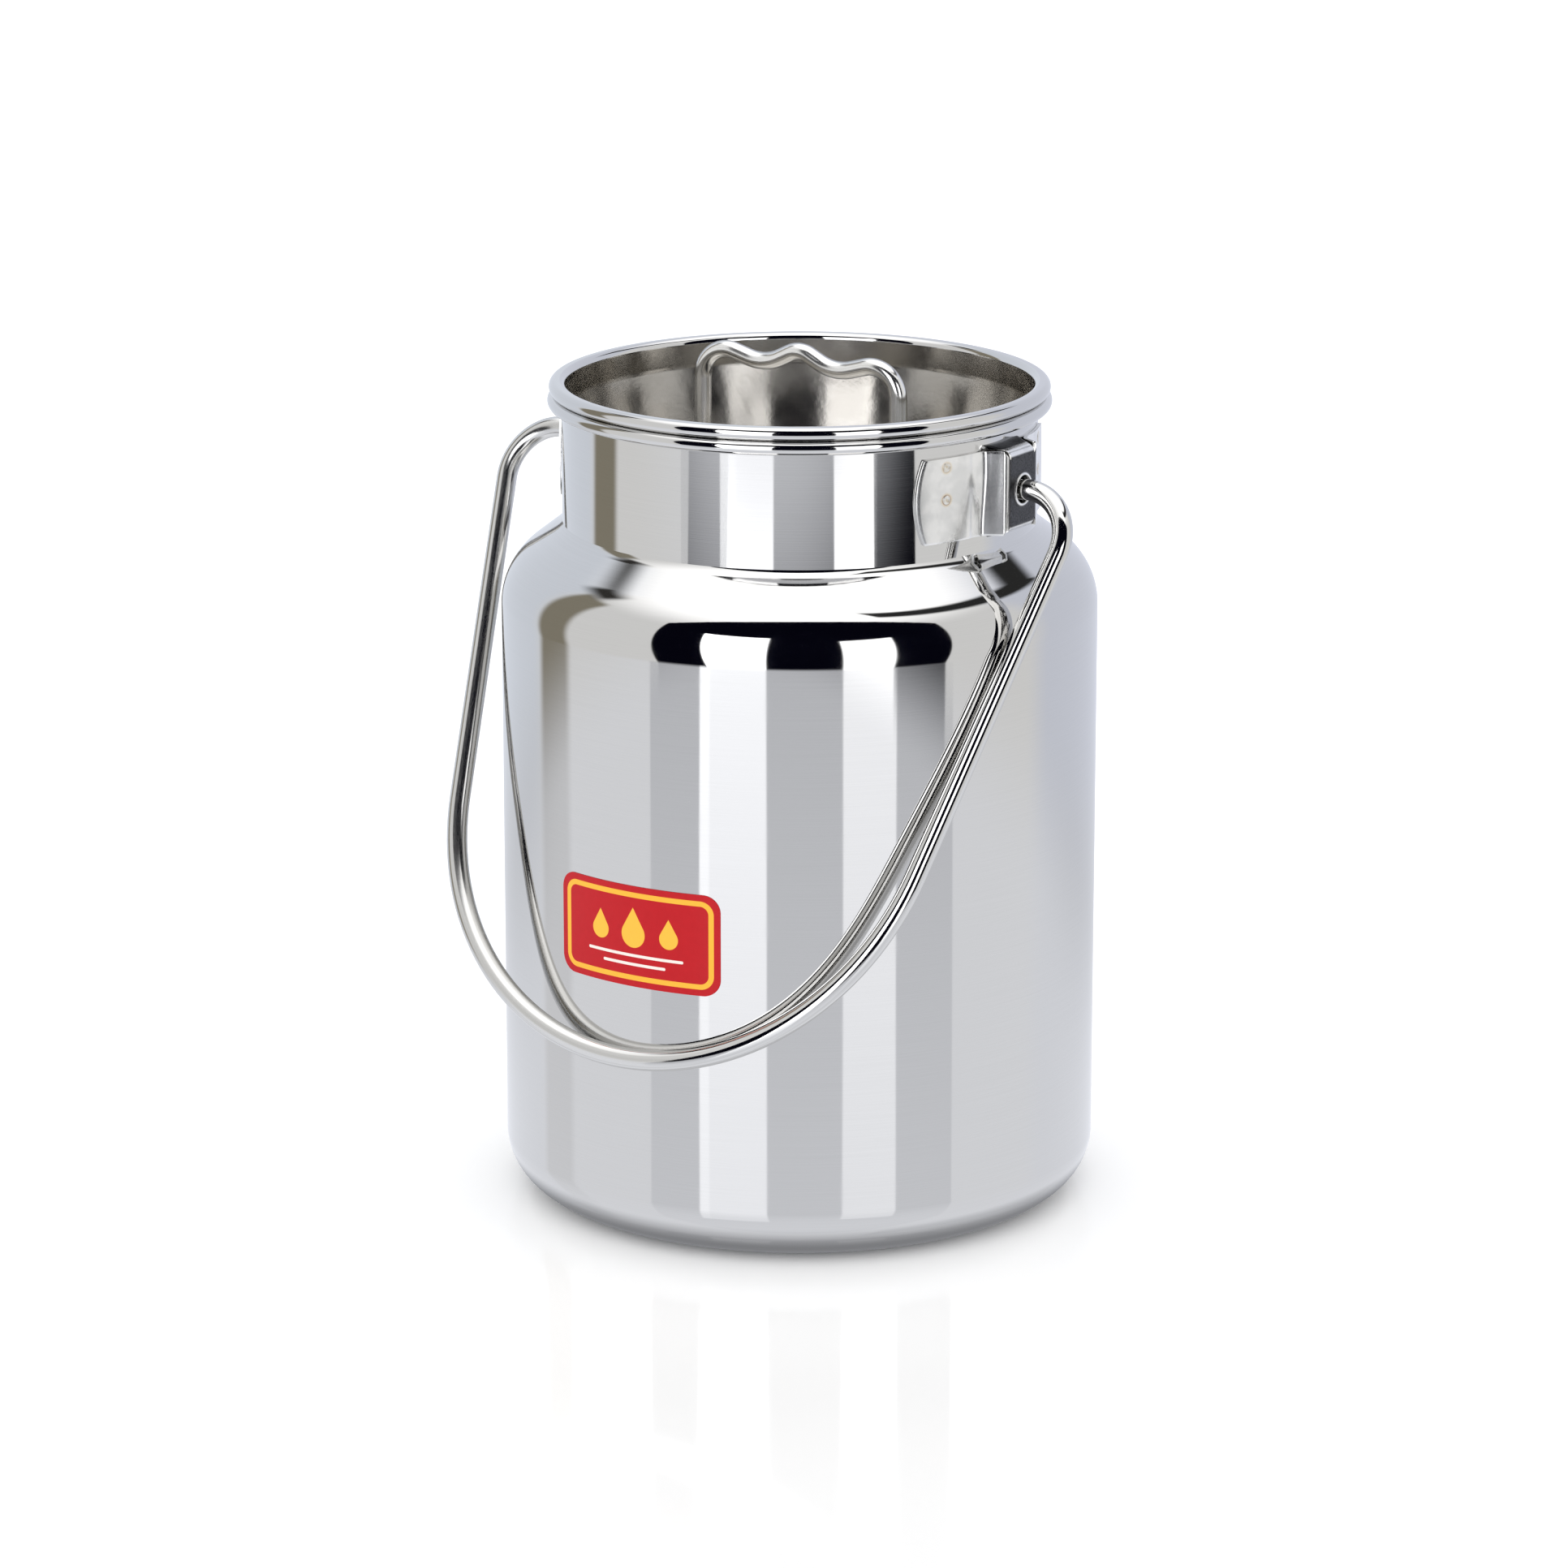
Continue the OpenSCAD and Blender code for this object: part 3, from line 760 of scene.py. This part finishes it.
def build_ear(name, node, side):
    """A stamped ear: pierced plate, folded side walls, wings on the neck, and roofs above and below."""
    points, faces = [], []

    def add_grid(rows):
        first, width = len(points), len(rows[0])
        for row in rows:
            points.extend(row)
        for a in range(len(rows) - 1):
            for b in range(width - 1):
                at = first + a * width + b
                faces.append((at, at + width, at + width + 1, at + 1))

    wall_out = (math.cos(math.radians(FOLD_ANGLE)), math.sin(math.radians(FOLD_ANGLE)))
    levels = np.linspace(-1, 1, 37)
    section, wing_start = ear_section()
    lengths = np.concatenate([[0], np.cumsum([math.dist(a, b) for a, b in zip(section, section[1:])])])
    fold_length = FOLD_ROUND * math.radians(FOLD_ANGLE)
    for hand in (-1, 1):
        rows = []
        for (x, y), run in zip(section, lengths):
            half = PLATE_FLAT + (EAR_HALF_HEIGHT - PLATE_FLAT) * min(1, run / fold_length)
            row = []
            for level in levels:
                dent = wall_dent((run - fold_length) / (lengths[-1] - fold_length), level)
                row.append((x - dent * wall_out[0], hand * (y - dent * wall_out[1]), level * half))
            rows.append(row)
        for k in range(1, WING_PARTS + 1):
            row = []
            for z in levels * EAR_HALF_HEIGHT:
                end_y = ear_high.y - WING_END_ROUND + math.sqrt(WING_END_ROUND ** 2 - z ** 2)
                turn = wing_start + (math.asin(end_y / WING_R) - wing_start) * k / WING_PARTS
                row.append((WING_R * math.cos(turn), hand * WING_R * math.sin(turn), z))
            rows.append(row)
        add_grid(rows if hand > 0 else [row[::-1] for row in rows])

    across = np.linspace(-1, 1, 17)
    for up in (-1, 1):
        bend_middle = (EAR_FACE - ROOF_BEND, PLATE_FLAT)
        profile = arc(bend_middle, ROOF_BEND, 0, 90 - ROOF_SLOPE, 5)
        x0, z0 = profile[-1]
        inner = NECK_R + WELD_GAP
        rows = [[(x, PLATE_HALF * a, up * z) for a in across] for x, z in profile]
        for k in range(1, ROOF_PARTS + 1):
            half = PLATE_HALF + (ROOF_HALF - PLATE_HALF) * k / ROOF_PARTS
            row = []
            for a in across:
                end_x = math.sqrt(inner ** 2 - (half * a) ** 2)
                x = x0 + (end_x - x0) * k / ROOF_PARTS
                row.append((x, half * a, up * (z0 + (x0 - x) * math.tan(math.radians(ROOF_SLOPE)))))
            rows.append(row)
        add_grid(rows if up < 0 else [row[::-1] for row in rows])

    # the plate: rings from the hole's edge, over its raised lip, out to the plate's straight edges;
    # each lip ring is a radius and a share of the lip's height
    border = [(PLATE_HALF, level * PLATE_FLAT) for level in levels[:-1]]
    border += [(-PLATE_HALF * a, PLATE_FLAT) for a in across[:-1]]
    border += [(-PLATE_HALF, -level * PLATE_FLAT) for level in levels[:-1]]
    border += [(PLATE_HALF * a, -PLATE_FLAT) for a in across[:-1]]
    lip_r = HOLE_R + LIP_WIDTH
    lip_foot = lip_r + 0.8 * MM
    rings = [(HOLE_R, -0.4), (HOLE_R, 0.6), (HOLE_R + 0.12 * MM, 0.9), (HOLE_R + 0.3 * MM, 1.0)]
    rings += [(lip_r - 0.1 * MM, 0.85), (lip_r + 0.1 * MM, 0.45), (lip_r + 0.4 * MM, 0.12), (lip_foot, 0)]
    first = len(points)
    count = len(border)
    for r, lift in rings:
        for y, z in border:
            turn = math.atan2(z, y)
            points.append((EAR_FACE + lift * EAR_LIP, r * math.cos(turn), r * math.sin(turn)))
    for k in range(1, PLATE_RINGS + 1):
        for y, z in border:
            turn = math.atan2(z, y)
            foot = np.array([math.cos(turn), math.sin(turn)]) * lip_foot
            at = foot + (np.array([y, z]) - foot) * k / PLATE_RINGS
            points.append((EAR_FACE, at[0], at[1]))
    for k in range(len(rings) + PLATE_RINGS - 1):
        for i in range(count):
            j = (i + 1) % count
            a, b = first + k * count, first + (k + 1) * count
            faces.append((a + i, b + i, b + j, a + j))

    placed = [(side * x, y, z + AXIS_HEIGHT) for x, y, z in points]
    if side < 0:
        faces = [face[::-1] for face in faces]
    ear = make_object(name, placed, faces, 180)
    tools = ear.modifiers
    weld = tools.new("join_edges", "WELD")
    weld.merge_threshold = 0.02 * MM
    thick = tools.new("sheet", "SOLIDIFY")
    thick.thickness = EAR_SHEET
    thick.offset = -1
    soft = tools.new("soft_edges", "BEVEL")
    soft.width = 0.14 * MM
    soft.segments = 2
    soft.limit_method = "ANGLE"
    soft.angle_limit = math.radians(60)
    return fit(ear, node, "can", "ear_steel", EAR)


def spot_places(side):
    """Middle and outward direction of each of an ear's four spot welds."""
    for hand in (-1, 1):
        for rise in SPOT_RISES:
            out = Vector((side * math.cos(SPOT_ANGLE), hand * math.sin(SPOT_ANGLE), 0))
            yield out * WING_R + Vector((0, 0, AXIS_HEIGHT + rise)), out


def build_spots(name, node, side):
    """Spot welds: round pressed marks with a low rim and a dished middle.

    Each ring is a share of the weld's radius and its height above the wing in millimetres.
    """
    rings = ((0.0, 0.02), (0.35, 0.02), (0.58, 0.04), (0.76, 0.09), (0.9, 0.09), (1.0, 0.02), (1.0, -0.9))
    points, faces = [], []
    around = 40
    for middle, out in spot_places(side):
        first = len(points)
        across = Vector((-out.y, out.x, 0))
        for share, lift in rings:
            for i in range(around):
                turn = 2 * math.pi * i / around
                flat = across * math.cos(turn) + Vector((0, 0, math.sin(turn)))
                wobble = 1 + 0.04 * math.sin(3 * turn + middle.z * 900)
                points.append(middle + flat * share * SPOT_R * wobble + out * lift * MM)
        for k in range(len(rings) - 1):
            for i in range(around):
                j = (i + 1) % around
                a, b = first + k * around, first + (k + 1) * around
                faces.append((a + i, b + i, b + j, a + j))
        faces.append([first + (len(rings) - 1) * around + i for i in range(around)])
    spots = make_object(name, points, faces, 50)
    return fit(spots, node, "can", "weld_metal", SPOT)


# ---------------------------------------------------------------- label

LABEL_ROUND = 5 * MM
LABEL_GAP = 0.03 * MM
LABEL_FILM = 0.15 * MM


def build_label():
    """A film bent round the front of the body. The attribute "print" is its flat place in millimetres."""
    half_x, half_z = (label_high.x - label_low.x) / 2, (label_high.z - label_low.z) / 2
    border = []
    for turn, corner_x, corner_z in ((0, 1, 1), (90, -1, 1), (180, -1, -1), (270, 1, -1)):
        middle = (corner_x * (half_x - LABEL_ROUND), corner_z * (half_z - LABEL_ROUND))
        border += arc(middle, LABEL_ROUND, turn, turn + 90, 6)
    long_border = []
    for a, b in zip(border, border[1:] + border[:1]):
        parts = max(1, math.ceil(math.dist(a, b) / (1.5 * MM)))
        long_border += [tuple(np.array(a) + (np.array(b) - np.array(a)) * k / parts) for k in range(parts)]
    count, rings = len(long_border), 14
    middle_z = (label_high.z + label_low.z) / 2
    points, prints, faces = [], [], []
    for radius in (BODY_R + LABEL_GAP + LABEL_FILM, BODY_R + LABEL_GAP):
        for k in range(1, rings + 1):
            for x, z in long_border:
                flat_x, flat_z = x * k / rings, z * k / rings
                points.append((flat_x, -math.sqrt(radius ** 2 - flat_x ** 2), middle_z + flat_z))
                prints.append((flat_x / MM, flat_z / MM, 0))
        points.append((0, -radius, middle_z))
        prints.append((0, 0, 0))
    layer = rings * count + 1
    for base, flip in ((0, False), (layer, True)):
        for i in range(count):
            j = (i + 1) % count
            fan = (base + layer - 1, base + i, base + j)
            faces.append(fan[::-1] if flip else fan)
            for k in range(rings - 1):
                a, b = base + k * count, base + (k + 1) * count
                quad = (a + i, b + i, b + j, a + j)
                faces.append(quad[::-1] if flip else quad)
    outside = (rings - 1) * count
    for i in range(count):
        j = (i + 1) % count
        faces.append((outside + i, outside + layer + i, outside + layer + j, outside + j))
    label = make_object("label", points, faces)
    attribute = label.data.attributes.new("print", "FLOAT_VECTOR", "POINT")
    attribute.data.foreach_set("vector", np.array(prints, np.float32).ravel())
    return fit(label, "front_label", "can", "label_film", LABEL)


# ---------------------------------------------------------------- the studio

FLOOR_R = 12.0
TABLE_R = 1.6
ROOM_WHITE = (1.4, 1.4, 1.4)
CAMERA_PITCH = math.radians(15.05)
CAMERA_DISTANCE = 1.7543
CAMERA_HEIGHT = 0.5904
CAMERA_SHIFT = 4.5 * MM
LENS_ANGLE = math.radians(14.32)


def studio_light(s):
    """The light tent that the steel reflects, as a colour for a direction.

    Turns are measured from the camera's side, positive to its right, and rises above the horizon.
    """
    along = s.node("ShaderNodeTexCoord").outputs["Generated"]
    front = s.vector("DOT_PRODUCT", along, NEAR)
    side = s.vector("DOT_PRODUCT", along, RIGHT)
    up = s.vector("DOT_PRODUCT", along, (0, 0, 1))
    turn = s.math("MULTIPLY", s.math("ARCTAN2", side, front), math.degrees(1))
    rise = s.math("MULTIPLY", s.math("ARCSINE", up), math.degrees(1))

    def span(low, high, soft, flares):
        """Between two turns that spread apart with height by the flares, in degrees per degree of rise."""
        past_low = s.math("ADD", turn, s.math("MULTIPLY", rise, flares[0]))
        past_high = s.math("SUBTRACT", turn, s.math("MULTIPLY", rise, flares[1]))
        inside = s.smooth(past_low, low - soft / 2, low + soft / 2)
        return s.math("MULTIPLY", inside, s.smooth(past_high, high + soft / 2, high - soft / 2))

    def panel(under, colour, turns, rises, soft=1.0, flares=(0.0, 0.0), tilt=0.0):
        """A patch of one colour. With a tilt its rises sink by that much per degree of turn."""
        height = s.math("ADD", rise, s.math("MULTIPLY", turn, tilt))
        above = s.smooth(height, rises[0] - soft / 2, rises[0] + soft / 2)
        below = s.smooth(height, rises[1] + soft / 2, rises[1] - soft / 2)
        mask = s.math("MULTIPLY", s.math("MULTIPLY", span(*turns, soft, flares), above), below)
        return s.mix(mask, under, colour)

    # grey side walls that turn cooler behind the can, with a brown cloth on the left
    cool_left, grey, cool_right = (0.80, 0.845, 0.93), (0.86, 0.86, 0.86), (0.75, 0.78, 0.88)
    sky = s.mix(s.smooth(turn, -125, -112), cool_left, grey)
    sky = s.mix(s.smooth(turn, 96, 112), sky, cool_right)
    cloth = (0.28, 0.255, 0.20)
    sky = panel(sky, cloth, (-118, -100), (-90, 40), 5.0)
    # a white roof, with a dark frame across each back corner
    roof_white, left_frame, right_frame = (1.75, 1.75, 1.76), (0.04, 0.038, 0.035), (0.03, 0.03, 0.03)
    sky = s.mix(s.smooth(rise, 36, 68), sky, roof_white)
    sky = panel(sky, left_frame, (-130, -109), (40, 50), 8.0)
    sky = panel(sky, right_frame, (50, 140), (79, 89), 4.0, tilt=0.35)
    # the dark opening in front, up to the roof's straight front edge
    opening = (0.002, 0.002, 0.006)
    roof_edge = s.math("SUBTRACT", s.math("MULTIPLY", front, 2.0), up)
    gap = s.math("MULTIPLY", span(-57.5, 59, 0.8, (0.14, 0.13)), s.smooth(front, 0.0, 0.02))
    gap = s.math("MULTIPLY", gap, s.smooth(roof_edge, -0.006, 0.006))
    sky = s.mix(gap, sky, opening)
    # two lamps in the opening, the left one with a brighter outer strip
    left_lamp, left_strip, right_lamp = (2.65, 2.67, 2.75), (3.3, 3.33, 3.40), (2.15, 2.16, 2.20)
    sky = panel(sky, left_lamp, (-36.8, -12.6), (-40, 36), flares=(0.13, 0.0))
    sky = panel(sky, left_strip, (-36.8, -33.0), (-40, 36), flares=(0.13, -0.13))
    return panel(sky, right_lamp, (16.5, 36.6), (-40, 31), flares=(0.0, 0.05))


def build_world():
    """White to the camera, even white light on matt surfaces, and the light tent in reflections."""
    world = bpy.data.worlds.new("studio")
    world.use_nodes = True
    bpy.context.scene.world = world
    s = Shader(world.node_tree)
    sky = studio_light(s)
    reflected = s.node("ShaderNodeLightPath").outputs["Is Glossy Ray"]
    background = s.node("ShaderNodeBackground")
    s.feed(background.inputs["Color"], s.mix(reflected, ROOM_WHITE, sky))
    output = s.node("ShaderNodeOutputWorld")
    s.feed(output.inputs["Surface"], background.outputs[0])
    world.cycles.sampling_method = "NONE"


def make_disc(name, radius, level):
    """A flat round sheet that belongs to the studio, not to the can."""
    sides = 96
    points = [(0, 0, level)]
    points += [(*at, level) for at in arc((0, 0), radius, 0, 360 * (sides - 1) / sides, 360 / sides)]
    disc = make_object(name, points, [(0, 1 + i, 1 + (i + 1) % sides) for i in range(sides)])
    return disc


def build_floor():
    """The pale floor that the camera sees, with a faint gloss round the can that fades out further away."""
    material, s = new_material("pale_floor")
    floor = make_disc("floor", FLOOR_R, -0.02 * MM)
    matt = s.node("ShaderNodeBsdfDiffuse", Color=(0.97, 0.97, 0.97, 1))
    gloss = s.node("ShaderNodeBsdfGlossy", Color=(1, 1, 1, 1), Roughness=0.06)
    away = s.vector("LENGTH", s.place(), (0, 0, 0))
    faint = s.math("MULTIPLY", s.smooth(away, 0.09, 0.2, 0.12, 0.24), s.smooth(away, 0.6, 0.34))
    mixed = s.node("ShaderNodeMixShader", Fac=faint)
    s.feed(mixed.inputs[1], matt.outputs[0])
    s.feed(mixed.inputs[2], gloss.outputs[0])
    finish_surface(s, mixed.outputs[0])
    floor.data.materials.append(material)
    floor.visible_glossy = False
    return floor


def build_table():
    """The bright, glossy table top that only the steel reflects.

    It glows instead of being lit, with a painted contact shadow close under the can and painted shade that
    dims it behind the can, and it fades out towards the tent's opening.
    """
    material, s = new_material("tent_table")
    table = make_disc("table", TABLE_R, -0.03 * MM)
    away = s.vector("LENGTH", s.place(), (0, 0, 0))
    ahead = s.vector("DOT_PRODUCT", s.place(), NEAR)
    # painted contact shadow round the can's foot, and painted shade that dims the table behind the can
    painted_contact_shadow = s.smooth(away, 0.078, 0.094, 0.3, 1.0)
    level = s.math("MULTIPLY", painted_contact_shadow, s.smooth(ahead, -0.3, -0.02, 0.78, 1.0))
    # the table glows at this painted strength instead of being lit
    matt = s.node("ShaderNodeEmission", Color=(0.94, 0.96, 1.02, 1), Strength=level)
    gloss = s.node("ShaderNodeBsdfGlossy", Color=(1, 1, 1, 1), Roughness=0.03)
    mixed = s.node("ShaderNodeMixShader", Fac=s.node("ShaderNodeFresnel", IOR=1.45).outputs[0])
    s.feed(mixed.inputs[1], matt.outputs[0])
    s.feed(mixed.inputs[2], gloss.outputs[0])
    clear = s.node("ShaderNodeBsdfTransparent")
    lit_middle = NEAR * 0.25 - RIGHT * 0.08
    from_middle = s.vector("DISTANCE", s.place(), lit_middle)
    edge = s.node("ShaderNodeMixShader", Fac=s.smooth(from_middle, 0.55, 0.865))
    s.feed(edge.inputs[1], mixed.outputs[0])
    s.feed(edge.inputs[2], clear.outputs[0])
    finish_surface(s, edge.outputs[0])
    table.data.materials.append(material)
    table.visible_camera = False
    table.visible_diffuse = False
    table.visible_shadow = False
    table.visible_transmission = False
    return table


def build_camera():
    """Looks down at the can from the front right, past the right ear."""
    lens = bpy.data.cameras.new("camera")
    lens.angle = LENS_ANGLE
    camera = bpy.data.objects.new("camera", lens)
    camera.location = NEAR * CAMERA_DISTANCE - RIGHT * CAMERA_SHIFT + Vector((0, 0, CAMERA_HEIGHT))
    camera.rotation_euler = (math.pi / 2 - CAMERA_PITCH, 0, CAMERA_AZIMUTH)
    bpy.context.scene.collection.objects.link(camera)
    bpy.context.scene.camera = camera


# ---------------------------------------------------------------- the scene

POLISHED, SATIN, EAR = polished_steel(), satin_steel(), ear_steel()
ROD, WIRE, SPOT = rod_steel(), wire_steel(), spot_steel()
WELD, LABEL = weld_metal(), label_print()

build_body()
build_collar()
build_lid()
build_bail()
build_lid_handle()
build_handle_welds()
build_ear("right_ear", "ear_right", 1)
build_ear("left_ear", "ear_left", -1)
build_spots("right_ear_spots", "ear_right_welds", 1)
build_spots("left_ear_spots", "ear_left_welds", -1)
build_label()

# the weld ring inside the neck stays as its CAD mesh
weld_ring = frame["nodes"]["neck_weld_ring"].data
weld_ring.materials.clear()
weld_ring.materials.append(WELD)

build_world()
build_floor()
build_table()
build_camera()
bpy.context.scene.view_settings.view_transform = "Standard"
bpy.context.scene.cycles.glossy_bounces = 8

bpy.context.view_layer.update()
